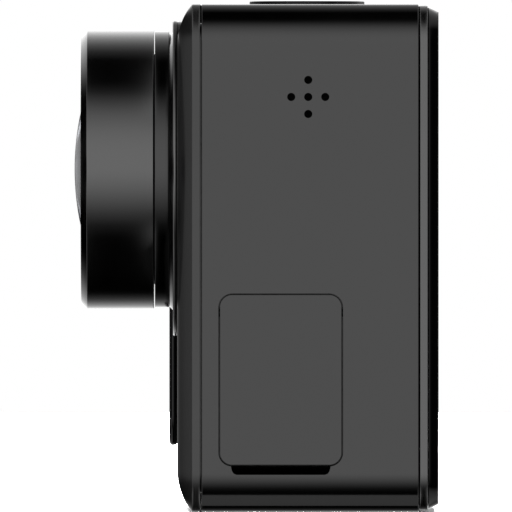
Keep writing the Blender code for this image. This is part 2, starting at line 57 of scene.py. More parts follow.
print("frame loaded with", len(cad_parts), "nodes")

mm = 0.001  # every length below is in millimetres and meets this once, in putMesh

# each facing gives the two directions across a shape and the one along it
facings = {
    "front": ((1, 0, 0), (0, 0, 1), (0, -1, 0)),
    "rear": ((1, 0, 0), (0, 0, 1), (0, 1, 0)),
    "up": ((1, 0, 0), (0, 1, 0), (0, 0, 1)),
    "side": ((0, 1, 0), (0, 0, 1), (1, 0, 0)),
}


def boxOf(node):
    low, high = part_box(node)
    return np.array(low) / mm, np.array(high) / mm


def middleOf(node):
    low, high = boxOf(node)
    return (low + high) / 2


def directions(facing):
    return [np.array(d, float) for d in facings[facing]]


def gridQuads(rows, columns, closed):
    # one quad for each cell of a grid whose columns wrap round; its rows wrap too when it is closed
    i = np.arange(rows if closed else rows - 1)[:, None]
    j = np.arange(columns)[None, :]
    below = (i + 1) % rows
    right = (j + 1) % columns
    corners = [i * columns + j, i * columns + right, below * columns + right, below * columns + j]
    return np.stack(np.broadcast_arrays(*corners), -1).reshape(-1, 4)


def newObject(name, data):
    made = bpy.data.objects.new(name, data)
    bpy.context.scene.collection.objects.link(made)
    return made


def putMesh(name, points, quads, caps=(), sharpAngle=30):
    mesh = bpy.data.meshes.new(name)
    faces = quads.tolist() + [list(cap) for cap in caps]
    mesh.from_pydata((points.reshape(-1, 3) * mm).tolist(), [], faces)
    bm = bmesh.new()
    bm.from_mesh(mesh)
    bmesh.ops.remove_doubles(bm, verts=bm.verts, dist=1e-7)
    bmesh.ops.recalc_face_normals(bm, faces=bm.faces)
    bm.to_mesh(mesh)
    bm.free()
    mesh.shade_smooth()
    mesh.set_sharp_from_angle(angle=math.radians(sharpAngle))
    return newObject(name, mesh)


def filleted(corners, closed=True, steps=4):
    # each corner (a, b, radius) becomes an arc about the point that is one radius from both of its sides
    made = []
    last = len(corners) - 1
    for k, (a, b, radius) in enumerate(corners):
        here = np.array([a, b], float)
        if radius == 0 or (not closed and k in (0, last)):
            made.append(here[None, :])
            continue
        before = np.array(corners[k - 1][:2], float) - here
        after = np.array(corners[(k + 1) % len(corners)][:2], float) - here
        before /= np.linalg.norm(before)
        after /= np.linalg.norm(after)
        half = np.arccos(np.clip(before @ after, -1, 1)) / 2
        inward = (before + after) / np.linalg.norm(before + after)
        middle = here + inward * radius / np.sin(half)
        start = here + before * radius / np.tan(half) - middle
        end = here + after * radius / np.tan(half) - middle
        turn = np.linspace(0, 1, steps + 1)[:, None]
        total = np.pi - 2 * half
        made.append(middle + (start * np.sin((1 - turn) * total) + end * np.sin(turn * total)) / np.sin(total))
    return np.concatenate(made)


def turned(name, profile, centre, facing, steps=96, closed=True, shape=None):
    # point = centre + radius * (cos a, sin a) across + height along, for each profile row and each angle a;
    # the centre's own place along the axis is dropped
    u, v, w = directions(facing)
    angle = np.arange(steps)[None, :] * 2 * np.pi / steps
    radius = profile[:, :1] + 0 * angle
    height = profile[:, 1:] + 0 * angle
    if shape:
        radius, height = shape(radius, height, angle)
    across = np.cos(angle)[..., None] * u + np.sin(angle)[..., None] * v
    points = np.array(centre, float) * (1 - np.abs(w)) + radius[..., None] * across + height[..., None] * w
    return putMesh(name, points, gridQuads(len(profile), steps, closed))


def rod(name, radius, start, end, centre, facing, steps=32):
    profile = np.array([(0, end), (radius, end), (radius, start), (0, start)], float)
    return turned(name, profile, centre, facing, steps, closed=False)


def lofted(name, rows, centre, facing, closed=False, segments=12, sharpAngle=30):
    # each row (half width, half height, corner radius, place along) is a rounded rectangle:
    # a quarter turn of the angle is one corner's arc, and straight sides join the four arcs
    u, v, w = directions(facing)
    rows = np.array(rows, float)
    halfU, halfV, radius, along = (rows[:, k][:, None] for k in range(4))
    turn = np.linspace(0, 1, segments + 1)[None, :]
    angle = ((np.arange(4)[:, None] + turn) * np.pi / 2).ravel()[None, :]
    signU = np.repeat([1, -1, -1, 1], segments + 1)[None, :]
    signV = np.repeat([1, 1, -1, -1], segments + 1)[None, :]
    across = signU * (halfU - radius) + radius * np.cos(angle)
    upward = signV * (halfV - radius) + radius * np.sin(angle)
    points = np.array(centre, float) + across[..., None] * u + upward[..., None] * v
    points = points + (along + 0 * angle)[..., None] * w
    count = angle.size
    caps = () if closed else (range(count), range((len(rows) - 1) * count, len(rows) * count))
    return putMesh(name, points, gridQuads(len(rows), count, closed), caps, sharpAngle)


def slab(name, low, high, facing, corner, edge=0.1, segments=8, bend=4):
    # a rounded plate between two corners; its faces meet its rim in a quarter circle of radius edge
    low, high = np.array(low, float), np.array(high, float)
    half = (high - low) / 2
    halfU, halfV, halfW = (abs(half @ d) for d in directions(facing))
    turn = np.linspace(0, np.pi / 2, bend)
    inset = edge * (1 - np.sin(turn))
    climb = edge * (1 - np.cos(turn))
    inset = np.concatenate([inset, inset[::-1]])
    along = np.concatenate([climb - halfW, (halfW - climb)[::-1]])
    rows = np.stack([halfU - inset, halfV - inset, np.maximum(corner - inset, 0.01), along], -1)
    return lofted(name, rows, (low + high) / 2, facing, segments=segments)


def carve(piece, tools, operation="DIFFERENCE", sharpAngle=30):
    # cuts or joins with solid tools; the result becomes the piece's own mesh and the tools go
    for tool in tools:
        change = piece.modifiers.new(tool.name, "BOOLEAN")
        change.operation = operation
        change.solver = "EXACT"
        change.object = tool
    graph = bpy.context.evaluated_depsgraph_get()
    mesh = bpy.data.meshes.new_from_object(piece.evaluated_get(graph))
    piece.modifiers.clear()
    piece.data = mesh
    mesh.shade_smooth()
    mesh.set_sharp_from_angle(angle=math.radians(sharpAngle))
    for tool in tools:
        bpy.data.objects.remove(tool)
    return piece


def shadeEvenly(piece, weight=50):
    flat = piece.modifiers.new("evenShading", "WEIGHTED_NORMAL")
    flat.keep_sharp, flat.weight = True, weight


def breakEdges(piece, width):
    # takes the sharpness off every edge that turns more than 55 degrees, as tumbling or a mould's radius does
    bevel = piece.modifiers.new("edgeBreak", "BEVEL")
    bevel.width, bevel.segments = width * mm, 2
    bevel.limit_method, bevel.angle_limit = "ANGLE", math.radians(55)
    bevel.use_clamp_overlap = True
    shadeEvenly(piece, 100)


def finishPiece(piece, slot, material, *nodes, body="camera_body"):
    piece.data.materials.clear()
    piece.data.materials.append(material)
    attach(piece, body)
    if nodes:
        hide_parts(*nodes)
    return piece


# materials

def hexColour(code):
    # an sRGB hex value to linear light
    value = np.array([int(code[k:k + 2], 16) for k in (0, 2, 4)]) / 255
    linear = np.where(value <= 0.04045, value / 12.92, ((value + 0.055) / 1.055) ** 2.4)
    return (*linear.tolist(), 1.0)


def addNode(tree, kind, inputs=None, into=None, **settings):
    # a node given as an input gives its first output, and this node's own first output goes into a socket
    made = tree.nodes.new("ShaderNode" + kind)
    for key, value in settings.items():
        setattr(made, key, value)
    for key, value in (inputs or {}).items():
        value = value.outputs[0] if isinstance(value, bpy.types.Node) else value
        if isinstance(value, bpy.types.NodeSocket):
            tree.links.new(value, made.inputs[key])
        else:
            made.inputs[key].default_value = value
    if into:
        tree.links.new(made.outputs[0], into)
    return made


def startMaterial(name, colour, roughness, metallic=0.0, **sockets):
    material = bpy.data.materials.new(name)
    material.use_nodes = True
    tree = material.node_tree
    shader = tree.nodes["Principled BSDF"]
    shader.inputs["Base Color"].default_value = hexColour(colour)
    shader.inputs["Roughness"].default_value = roughness
    shader.inputs["Metallic"].default_value = metallic
    for key, value in sockets.items():
        shader.inputs[key.replace("_", " ")].default_value = value
    return material, tree, shader.inputs, addNode(tree, "TexCoord").outputs["Object"]


def addGrain(tree, sockets, place, roughness, vary, grain, strength, depth, smudge):
    # a fine height noise for the surface's texture, and a wide one that moves the roughness as handling does
    fine = addNode(tree, "TexNoise", {"Vector": place, "Scale": 1 / (grain * mm), "Detail": 2.0})
    addNode(tree, "Bump", {"Height": fine, "Strength": strength, "Distance": depth * mm}, sockets["Normal"])
    wide = addNode(tree, "TexNoise", {"Vector": place, "Scale": 1 / (smudge * mm), "Detail": 3.0})
    addNode(tree, "MapRange", {"Value": wide, "From Min": 0.3, "From Max": 0.7, "To Min": roughness - vary,
        "To Max": roughness + vary}, sockets["Roughness"])


def anodisedAluminium(name, colour, roughness, grain=0.11, strength=0.05, edgeTint="ffffff"):
    # bead-blasted, dyed and sealed aluminium: a dark metal with a soft, even sheen; the dye dulls its grazing
    # edges. The pits are about 0.03 mm across, and are drawn at 0.11 mm or more so that they show
    material, tree, sockets, place = startMaterial(name, colour, roughness, 1.0, Specular_Tint=hexColour(edgeTint))
    addGrain(tree, sockets, place, roughness, 0.015, grain, strength, 0.02, 9.0)
    return material


def satinPaint(name, colour, roughness):
    # metal-flake satin paint on moulded plastic: part mirror and part matte, so it glows a little in any light.
    # The flakes are about 0.03 mm across, drawn at 0.13 mm
    material, tree, sockets, place = startMaterial(name, colour, roughness, 0.8, Specular_Tint=hexColour("989898"))
    addGrain(tree, sockets, place, roughness, 0.02, 0.13, 0.06, 0.02, 12.0)
    return material


def mouldedPlastic(name, colour, roughness, grain=0.16, strength=0.08):
    # injection-moulded plastic from a spark-textured tool: matte, with a fine pebble that catches light at a
    # glance. The pebble is about 0.05 mm across, drawn at 0.12 mm or more
    material, tree, sockets, place = startMaterial(name, colour, roughness, IOR=1.5)
    addGrain(tree, sockets, place, roughness, 0.03, grain, strength, 0.03, 12.0)
    return material


def stampedSteel(name, colour, roughness):
    # rolled stainless sheet: fine parallel rolling lines that stretch the highlight, drawn 0.11 mm apart and
    # 2.5 mm long; the real ones are about 0.02 mm apart
    material, tree, sockets, place = startMaterial(name, colour, roughness, 1.0)
    stretch = addNode(tree, "Mapping", {"Vector": place, "Scale": (400, 9000, 9000)})
    lines = addNode(tree, "TexNoise", {"Vector": stretch, "Scale": 1.0, "Detail": 2.0})
    addNode(tree, "Bump", {"Height": lines, "Strength": 0.15, "Distance": 0.02 * mm}, sockets["Normal"])
    return material


def turnedMetal(name, colour, roughness, centre, facing, pitch=0.09):
    # metal cut on a lathe: circular tool lines about its own axis, which fan the light out from the centre;
    # the height is the sine of (distance from the axis / pitch), a little coarser than the real 0.05 mm feed
    material, tree, sockets, place = startMaterial(name, colour, roughness, 1.0)
    across = tuple(1 - np.abs(directions(facing)[2]))
    moved = addNode(tree, "VectorMath", {0: place, 1: tuple(np.array(centre) * mm)}, operation="SUBTRACT")
    flat = addNode(tree, "VectorMath", {0: moved, 1: across}, operation="MULTIPLY")
    reach = addNode(tree, "VectorMath", {0: flat}, operation="LENGTH").outputs["Value"]
    turns = addNode(tree, "Math", {0: reach, 1: 2 * math.pi / (pitch * mm)}, operation="MULTIPLY")
    wave = addNode(tree, "Math", {0: turns}, operation="SINE")
    addNode(tree, "Bump", {"Height": wave, "Strength": 0.12, "Distance": 0.01 * mm}, sockets["Normal"])
    return material


def blackBackedGlass(name, colour, roughness, window=None):
    # chemically strengthened glass printed black behind: a deep, clean reflection over almost no colour, with
    # faint finger smears; the display behind it shows as a slightly lighter rectangle
    material, tree, sockets, place = startMaterial(name, colour, roughness, IOR=1.5, Specular_IOR_Level=0.3)
    smear = addNode(tree, "TexNoise", {"Vector": place, "Scale": 90.0, "Detail": 4.0})
    addNode(tree, "MapRange", {"Value": smear, "From Min": 0.4, "From Max": 0.75, "To Min": roughness,
        "To Max": roughness + 0.05}, sockets["Roughness"])
    if window:
        centre, half = window
        moved = addNode(tree, "VectorMath", {0: place, 1: tuple(np.array(centre) * mm)}, operation="SUBTRACT")
        size = addNode(tree, "VectorMath", {0: moved}, operation="ABSOLUTE")
        parts = addNode(tree, "SeparateXYZ", {"Vector": size}).outputs
        inX = addNode(tree, "Math", {0: parts["X"], 1: half[0] * mm}, operation="LESS_THAN")
        inZ = addNode(tree, "Math", {0: parts["Z"], 1: half[1] * mm}, operation="LESS_THAN")
        inside = addNode(tree, "Math", {0: inX, 1: inZ}, operation="MULTIPLY")
        paint = addNode(tree, "Mix", {0: inside, 6: hexColour(colour), 7: hexColour("121316")}, data_type="RGBA")
        tree.links.new(paint.outputs[2], sockets["Base Color"])
    return material


def coatedOptic(name, colour, coating, coat=0.3):
    # ground and polished optical glass with a vacuum coating: clear, with a faint tinted reflection
    material, tree, sockets, place = startMaterial(name, colour, 0.02, IOR=1.52, Transmission_Weight=1.0,
        Coat_Weight=coat, Coat_Roughness=0.02, Coat_Tint=hexColour(coating), Specular_IOR_Level=0.2)
    haze = addNode(tree, "TexNoise", {"Vector": place, "Scale": 150.0, "Detail": 3.0})
    addNode(tree, "MapRange", {"Value": haze, "To Max": 0.04}, sockets["Roughness"])
    return material


def solderMask(name, colour):
    # glass laminate under lacquer: copper tracks stand a little proud and show as paler lines, drawn about
    # four times as wide as the real 0.1 mm
    material, tree, sockets, place = startMaterial(name, colour, 0.35, IOR=1.5)
    tracks = addNode(tree, "TexBrick", {"Vector": place, "Scale": 260.0, "Mortar Size": 0.03,
        "Color1": hexColour(colour), "Color2": hexColour(colour), "Mortar": hexColour("1f2c24")}, sockets["Base Color"])
    addNode(tree, "Bump", {"Height": tracks.outputs["Fac"], "Strength": 0.3, "Distance": 0.03 * mm}, sockets["Normal"])
    return material


lensMiddle = middleOf("lens_collar")
buttonMiddle = middleOf("shutter_button")
socketMiddle = middleOf("tripod_insert")
displayLow, displayHigh = boxOf("display_panel")
displayWindow = ((displayLow + displayHigh) / 2, ((displayHigh - displayLow) / 2 - 1.2)[[0, 2]])

frameMetal = anodisedAluminium("anodisedAluminiumBlasted", "4c4c4c", 0.15, edgeTint="b4b4b4")
collarMetal = anodisedAluminium("anodisedAluminiumCollar", "4b4b4b", 0.15, grain=0.2, strength=0.02, edgeTint="d8d8d8")
barrelMetal = anodisedAluminium("anodisedAluminiumTurned", "636363", 0.15, grain=0.2, strength=0.02, edgeTint="f4f4f4")
bezelMetal = anodisedAluminium("anodisedAluminiumBright", "636363", 0.2, edgeTint="b8b8b8")
buttonMetal = turnedMetal("anodisedAluminiumSpun", "262627", 0.3, buttonMiddle, "up")
coverPlastic = satinPaint("metallicPaintOnAbs", "4c4c4c", 0.18)
blackPlastic = mouldedPlastic("blackNylonMoulded", "121212", 0.45)
insidePlastic = mouldedPlastic("blackPolycarbonateInside", "17181a", 0.55, grain=0.3)
rubberSeal = mouldedPlastic("siliconeRubberMoulded", "1c1c1d", 0.7, grain=0.25, strength=0.12)
panelGlass = blackBackedGlass("glossBlackAcrylicPanel", "050505", 0.05)
screenGlassFinish = blackBackedGlass("strengthenedGlassPrinted", "050506", 0.03, displayWindow)
frontOptic = coatedOptic("opticalGlassFront", "f4f6f6", "f4f4f8", coat=0.6)
innerOptic = coatedOptic("opticalGlassInner", "a9b0b4", "a8d8c8")
steelSheet = stampedSteel("stainlessSteelStamped", "b8b9bb", 0.35)
pinSteel = stampedSteel("stainlessSteelDrawn", "a9aaac", 0.3)
blackSteel = stampedSteel("blackOxideSteel", "202122", 0.4)
grilleMesh = mouldedPlastic("wovenAcousticMesh", "060606", 0.8, grain=0.12, strength=0.3)
heatMetal = anodisedAluminium("aluminiumMilled", "c9cacc", 0.35, grain=0.4, strength=0.1)
socketBrass = turnedMetal("brassTurned", "c9a35c", 0.28, socketMiddle, "up", pitch=0.2)
contactGold = turnedMetal("goldPlatedContact", "e6bf6a", 0.25, middleOf("battery_contacts"), "up", pitch=0.5)
boardMask = solderMask("glassLaminateSolderMask", "0a0f0c")
filterGlass = coatedOptic("infraredCutFilterGlass", "101c20", "803850", coat=0.0)
sensorGlass = mouldedPlastic("imagerDieUnderCoverGlass", "07090b", 0.2, grain=0.4, strength=0.02)
chipEpoxy = mouldedPlastic("mouldedEpoxyChip", "1e1f21", 0.5, grain=0.2)
filmFlex = mouldedPlastic("polyimideFilm", "8a4a12", 0.3, grain=1.5, strength=0.05)
cellWrap = mouldedPlastic("batteryFilmWrap", "24262a", 0.42, grain=0.6, strength=0.05)
lightPipe = mouldedPlastic("frostedAcrylicLightPipe", "cfd2d4", 0.35, grain=0.5)
print("materials made")

# body shell

body = {"wall": 1.5, "corner": 3.2, "edge": 0.07, "lip": 0.8, "lipRise": 0.5, "holeEdge": 0.05,
    "arc": 5.2, "arcInset": 3.36, "skin": 1.2, "coverCorner": 0.75}
frameLow, frameHigh = boxOf("mid_frame")
frameMiddle = (frameLow + frameHigh) / 2
halfWidth = (frameHigh[0] - frameLow[0]) / 2
halfHeight = (frameHigh[2] - frameLow[2]) / 2
bodyAxis = frameMiddle * np.array([1, 0, 1])
seam = 0.1


def ringRows(profile):
    # (inset, y) pairs to rounded rectangles of the body's outline, whose corner radius shrinks by the inset
    profile = np.array(profile, float)
    inset = profile[:, 0]
    corner = np.maximum(body["corner"] - inset, 0.3)
    return np.stack([halfWidth - inset, halfHeight - inset, corner, profile[:, 1]], -1)


def scoop(name, low, high, face):
    # a finger notch: depth = full depth * sin(quarter turn * share of the way down to the door's edge),
    # and its two ends draw in by a quarter circle at the top
    endRound, beyond, through = 0.45, 1.0, 0.5
    down = np.linspace(0, 1, 10)
    depth = (face - low[0]) * np.sin(down * np.pi / 2)
    rows = low[2] + (high[2] - low[2]) * down
    middle, half = (low[1] + high[1]) / 2, (high[1] - low[1]) / 2
    ends = endRound * (1 - np.sqrt(1 - (1 - down) ** 2))
    columns = []
    for side, floor in ((-1, True), (1, True), (1, False), (-1, False)):
        reach = face - depth if floor else 0 * depth + face + beyond
        column = np.stack([reach, middle + side * (half - ends), rows], -1)
        columns.append(np.concatenate([column, column[-1:] + np.array([0, 0, through])]))
    points = np.stack(columns, 1)
    count = len(points)
    return putMesh(name, points, gridQuads(count, 4, False), (range(4), range((count - 1) * 4, count * 4)))


midFrame = {
    "bossSkin": 1.0, "portBoss": (0.8, -4.0, 8.1, 19.2), "socketBoss": (5.3, 5.35, 6.8), "foot": 0.5,
    "screwBoss": (1.3, 8.9, 11.15), "coreInset": 0.7, "recessCorner": 1.13, "notch": (31.2, 0.93, 0.92, 0.79),
    "plugGap": 0.12, "plugCorner": 1.5, "hatchCorner": 1.5, "hatchCeiling": 2.2, "socketHole": 4.6,
    "buttonHole": 4.915, "pinHole": 0.36, "pinGap": 0.15, "speakerHole": 0.33, "speakerPitch": 1.395,
    "screwHole": 0.65, "screwFloor": 9.3,
}


def makeMidFrame():
    look = midFrame
    front, rear = frameLow[1], frameHigh[1]
    wall, edge, outside, foot = body["wall"], body["edge"], 40.0, look["foot"]
    profile = filleted([(0, front, edge), (0, rear, edge), (wall, rear, edge), (wall, front, edge)])
    shell = lofted("midFrame", ringRows(profile), bodyAxis, "rear", closed=True, segments=24)
    doorLow, doorHigh = boxOf("port_door")
    hatchLow, hatchHigh = boxOf("battery_door")
    plugLow, plugHigh = boxOf("port_connector")
    floorX = plugHigh[0]
    # solid blocks inside carry the port, the tripod socket and the screws; they join the shell as one
    thick, bossFront, bossRear, bossTop = look["portBoss"]
    halfX, halfY, socketTop = look["socketBoss"]
    joined = [slab("portBoss", (floorX - thick, bossFront, foot), (halfWidth - look["bossSkin"], bossRear, bossTop),
        "side", 0.5, 0.05),
        slab("socketBoss", (socketMiddle[0] - halfX, socketMiddle[1] - halfY, foot),
        (socketMiddle[0] + halfX, socketMiddle[1] + halfY, socketTop), "up", 0.8, 0.1)]
    reach, bossFront, bossRear = look["screwBoss"]
    for k in range(1, 5):
        x, _, z = middleOf(f"bracket_screw_{k}")
        outerZ = foot if z < halfHeight else 2 * halfHeight - foot
        outer = np.array([np.sign(x) * (halfWidth - look["bossSkin"]), bossRear, outerZ])
        inner = np.array([x - np.sign(x) * reach, bossFront, z + np.sign(halfHeight - z) * reach])
        joined.append(slab(f"screwBoss{k}", np.minimum(outer, inner), np.maximum(outer, inner), "rear", 0.3, 0.05))
    core = [(look["coreInset"], front + 0.02), (look["coreInset"], rear - 0.02)]
    bosses = joined.pop()
    carve(bosses, joined, "UNION")
    carve(bosses, [lofted("core", ringRows(core), bodyAxis, "rear", segments=24)], "INTERSECT")
    carve(shell, [bosses], "UNION")
    notchX, before, after, drop = look["notch"]
    gap = look["plugGap"]
    cuts = [
        slab("recess", (floorX, doorLow[1] - seam, doorLow[2] - seam),
            (outside, doorHigh[1] + seam, doorHigh[2] + seam),
            "side", look["recessCorner"], 0.02, segments=10),
        scoop("thumbNotch", np.array([notchX, doorLow[1] + before, doorLow[2] - drop]),
            np.array([outside, doorHigh[1] - after, doorLow[2]]), halfWidth),
        slab("plugMouth", (20, plugLow[1] - gap, plugLow[2] - gap), (floorX + 1, plugHigh[1] + gap, plugHigh[2] + gap),
            "side", look["plugCorner"], 0.02),
        slab("hatchOpening", (hatchLow[0] - seam, hatchLow[1] - seam, -2),
            (hatchHigh[0] + seam, hatchHigh[1] + seam, look["hatchCeiling"]), "up", look["hatchCorner"], 0.02,
            segments=10),
        rod("socketHole", look["socketHole"], -1, 8, socketMiddle, "up", 96),
        rod("buttonHole", look["buttonHole"], 39, 43, buttonMiddle, "up", 128),
    ]
    for pin in ("port_door_pin", "battery_door_pin"):
        low, high = boxOf(pin)
        start, end = low[1] - look["pinGap"], high[1] + look["pinGap"]
        cuts.append(rod(pin + "Hole", look["pinHole"], start, end, middleOf(pin), "rear", 24))
    _, y, z = middleOf("speaker_mesh")
    for k, (dy, dz) in enumerate([(0, 0), (1, 0), (-1, 0), (0, 1), (0, -1)]):
        centre = (0, y + dy * look["speakerPitch"], z + dz * look["speakerPitch"])
        cuts.append(rod(f"speakerHole{k}", look["speakerHole"], 30, outside, centre, "side", 32))
    for k in range(1, 5):
        centre = middleOf(f"bracket_screw_{k}")
        cuts.append(rod(f"screwHole{k}", look["screwHole"], look["screwFloor"], 12, centre, "rear", 24))
    carve(shell, cuts)
    breakEdges(shell, body["holeEdge"])
    finishPiece(shell, "anodised_frame", frameMetal, "mid_frame")


def coverHeight(inset):
    # how far ahead the cover's surface is at an inset from the outline: an arc that ends in the flat face
    bent = np.clip(body["arcInset"] - inset, 0, None)
    face = -boxOf("front_cover")[0][1]
    return face - body["arc"] + np.sqrt(np.clip(body["arc"] ** 2 - bent ** 2, 0, None))


faceHoles = {"light": 0.8, "microphone": 0.45, "lens": 11.05, "front": (3, 8)}
cover = {"tongueGap": 0.06, "rearEdge": 0.05, "crease": 0.04, "sharpAngle": 24}
panel = {"proud": 0.12, "corner": 2.5, "edge": 0.3, "lightRadius": 0.68, "lightDome": 0.12}


def faceHoleRods(lightSteps):
    # the status light's and the microphone's holes, which pass through the cover and the panel alike
    lightAt, micAt = middleOf("status_light"), middleOf("microphone")
    return [rod("lightHole", faceHoles["light"], *faceHoles["front"], lightAt, "front", lightSteps),
        rod("micHole", faceHoles["microphone"], *faceHoles["front"], micAt, "front", 32)]


def makeFrontCover():
    low, high = boxOf("front_cover")
    face, rear = low[1], high[1]
    inside = body["wall"] + body["lip"]
    tongue = body["wall"] + cover["tongueGap"]
    tongueRear = rear + body["lipRise"]
    edge, crease = cover["rearEdge"], cover["crease"]
    inset = body["arcInset"] * (1 - np.cos(np.linspace(0, np.pi / 2, 22)))
    arc = np.stack([inset, -coverHeight(inset)], -1)
    start = arc[0, 1]
    lead = [(inside, face + body["skin"]), (inside, tongueRear), (tongue, tongueRear), (tongue, rear), (edge, rear),
        (0.3 * edge, rear - 0.3 * edge), (0, rear - edge), (0, rear - 4 * edge), (0, start + 0.15),
        (0, start + crease), (0.3 * crease, start + 0.2 * crease)]
    profile = np.concatenate([np.array(lead), arc[1:]])
    rows = ringRows(profile)
    corner = body["corner"] - body["coverCorner"] * profile[:, 0]
    rows[:, 2] = np.where(profile[:, 1] < start + 0.05, corner, rows[:, 2])
    made = lofted("frontCover", rows, bodyAxis, "rear", segments=24, sharpAngle=cover["sharpAngle"])
    lensHole = rod("lensOpening", faceHoles["lens"], *faceHoles["front"], lensMiddle, "front", 128)
    carve(made, [lensHole] + faceHoleRods(32), sharpAngle=cover["sharpAngle"])
    shadeEvenly(made)
    finishPiece(made, "cover_plastic", coverPlastic, "front_cover")


def makeFrontPanel():
    low, high = boxOf("front_panel")
    made = slab("frontPanel", low - np.array([0, panel["proud"], 0]), high, "front", panel["corner"], panel["edge"],
        segments=20, bend=8)
    carve(made, faceHoleRods(48))
    breakEdges(made, 0.04)
    finishPiece(made, "gloss_black", panelGlass, "front_panel")
    low, high = boxOf("status_light")
    radius = panel["lightRadius"]
    domed = filleted([(0, -low[1], 0), (radius, -low[1] - panel["lightDome"], 0.1), (radius, -high[1], 0.05),
        (0, -high[1], 0)], False, 6)
    light = turned("statusLight", domed, middleOf("status_light"), "front", 48, closed=False)
    finishPiece(light, "diffuser", lightPipe, "status_light")


# lens

lens = {"chamfer": 0.5, "proud": 0.1, "growth": 0.06, "shellBore": 9.9, "shoulder": 12.6, "collarBore": 10.2,
    "baffleSteps": 5, "baffleBore": 6.55, "baffleDepth": 0.36}
lensBase = {"inner": 11.0, "flatTop": 40.3, "neck": 7.165, "face": 6.86, "thick": 0.35, "cone": (11.36, 11.66),
    "rimRound": 0.15, "backRound": 0.12, "onCover": 4.0, "bore": 10.2, "sleeve": 10.9}
# each element's piece, glass, radius, front pole, front curve, back pole, back curve and back radius
elements = {
    "front_lens": ("frontLens", frontOptic, 6.4, -boxOf("front_lens")[0][1], 22.0, 13.8, 12.0, 5.6),
    "lens_element_second": ("lensElementSecond", innerOptic, 6.05, 11.4, 22.0, 9.5, 300.0, 5.2),
    "lens_element_third": ("lensElementThird", innerOptic, 5.15, 8.9, 11.0, 6.9, 30.0, 4.4),
    "lens_element_rear": ("lensElementRear", innerOptic, 4.05, 3.2, 9.0, 0.9, 300.0, 3.4),
}


def lensPiece(name, profile, material, slot, node, steps=144, closed=True, shape=None):
    made = turned(name, profile, lensMiddle, "front", steps, closed, shape)
    return finishPiece(made, slot, material, node)


def makeLensBase():
    low, high = boxOf("lens_base_ring")
    ahead, sleeveRear = -low[1], -high[1]
    radius = (high[0] - low[0]) / 2
    neck, face, thick, marker = (lensBase[key] for key in ("neck", "face", "thick", "onCover"))
    bore, sleeve, inner = lensBase["bore"], lensBase["sleeve"], lensBase["inner"]
    coneIn, coneOut = lensBase["cone"]
    cone = np.linspace((coneIn, neck - 0.005), (coneOut, face + 0.005), 4)
    # the rim's two edges are quarter circles
    turn = np.linspace(0, np.pi / 2, 9)
    soft, back = lensBase["rimRound"], lensBase["backRound"]
    rim = np.concatenate([
        np.stack([radius - soft + soft * np.sin(turn), face - soft + soft * np.cos(turn)], -1),
        np.stack([radius - back + back * np.cos(turn), face - thick + back - back * np.sin(turn)], -1)])
    profile = np.concatenate([
        [(bore, neck - 0.03), (bore + 0.03, neck), (coneIn - 0.02, neck)], cone, rim,
        [(radius - 0.06, face - thick - 0.03), (radius - 0.06, marker), (sleeve, marker)],
        filleted([(sleeve, marker, 0), (sleeve, sleeveRear, 0.1), (bore, sleeveRear, 0.1), (bore, ahead, 0)],
        False, 6)[1:]])
    flat = lensBase["flatTop"] - lensMiddle[2]

    def trimmed(r, h, angle):
        # the rim is a circle cut off by a flat at the top; the rear edge lies on the cover's curved surface
        rimAt = np.where(np.sin(angle) * radius > flat, flat / np.maximum(np.sin(angle), 0.1), radius)
        r = np.where(r > inner, inner + (r - inner) * (rimAt - inner) / (radius - inner), r)
        x = np.abs(lensMiddle[0] + r * np.cos(angle))
        z = lensMiddle[2] + r * np.sin(angle)
        inset = np.minimum(halfWidth - x, 2 * halfHeight - z)
        h = np.where(h == marker, coverHeight(np.clip(inset, 0, None)) - 0.02, h)
        return r, h

    lensPiece("lensBaseRing", profile, barrelMetal, "cover_plastic", "lens_base_ring", steps=192, shape=trimmed)


def makeLensBarrel():
    sharp = 0.05
    trimLow, trimHigh = boxOf("lens_front_trim")
    trimRadius, trimFront, trimRear = (trimHigh[2] - trimLow[2]) / 2, -trimLow[1], -trimHigh[1]
    low, high = boxOf("lens_barrel")
    radius, front, rear = (high[2] - low[2]) / 2 + lens["growth"], -low[1] + lens["proud"], -high[1]
    bore, shellBore, shoulder = trimRadius + seam, lens["shellBore"], lens["shoulder"]
    lip = radius - lens["chamfer"]
    profile = filleted([
        (lip - 0.02, front, 0), (lip + 0.02, front - 0.03, 0.02), (radius, front - lens["chamfer"], sharp),
        (radius, rear, sharp), (shellBore, rear, sharp), (shellBore, shoulder, sharp), (bore, shoulder, 0.02),
        (bore, front - 0.12, 0.03)])
    lensPiece("lensBarrel", profile, barrelMetal, "anodised_frame", "lens_barrel", steps=192)
    low, high = boxOf("lens_collar")
    radius, front, rear, bore = (high[2] - low[2]) / 2, -low[1], -high[1], lens["collarBore"]
    profile = filleted([(radius, front, sharp), (radius, rear, sharp), (bore, rear, sharp), (bore, front, sharp)])
    lensPiece("lensCollar", profile, collarMetal, "anodised_frame", "lens_collar", steps=192)
    # a stepped light baffle falls from the rim to the glass
    steps, bore = lens["baffleSteps"], lens["baffleBore"]
    radii = np.linspace(trimRadius - 0.25, bore + 0.07, steps + 1)
    heights = np.linspace(trimFront - 0.02, trimFront - lens["baffleDepth"], steps + 1)
    stairs = [(radii[k], heights[k + rise], 0.02) for k in range(steps) for rise in (0, 1)]
    profile = filleted([(trimRadius, trimRear, sharp), (trimRadius, trimFront, 0.04)] + stairs
        + [(bore, heights[-1], 0.03), (bore, trimRear, sharp)], steps=3)
    lensPiece("lensFrontTrim", profile, blackPlastic, "black_plastic", "lens_front_trim")


def sphereProfile(radius, top, sphere, rows):
    # a sphere read from its pole out to the edge: height = top - sphere + sqrt(sphere^2 - r^2)
    r = radius * np.sin(np.linspace(0, np.pi / 2, rows))
    return np.stack([r, top - sphere + np.sqrt(sphere ** 2 - r ** 2)], -1)


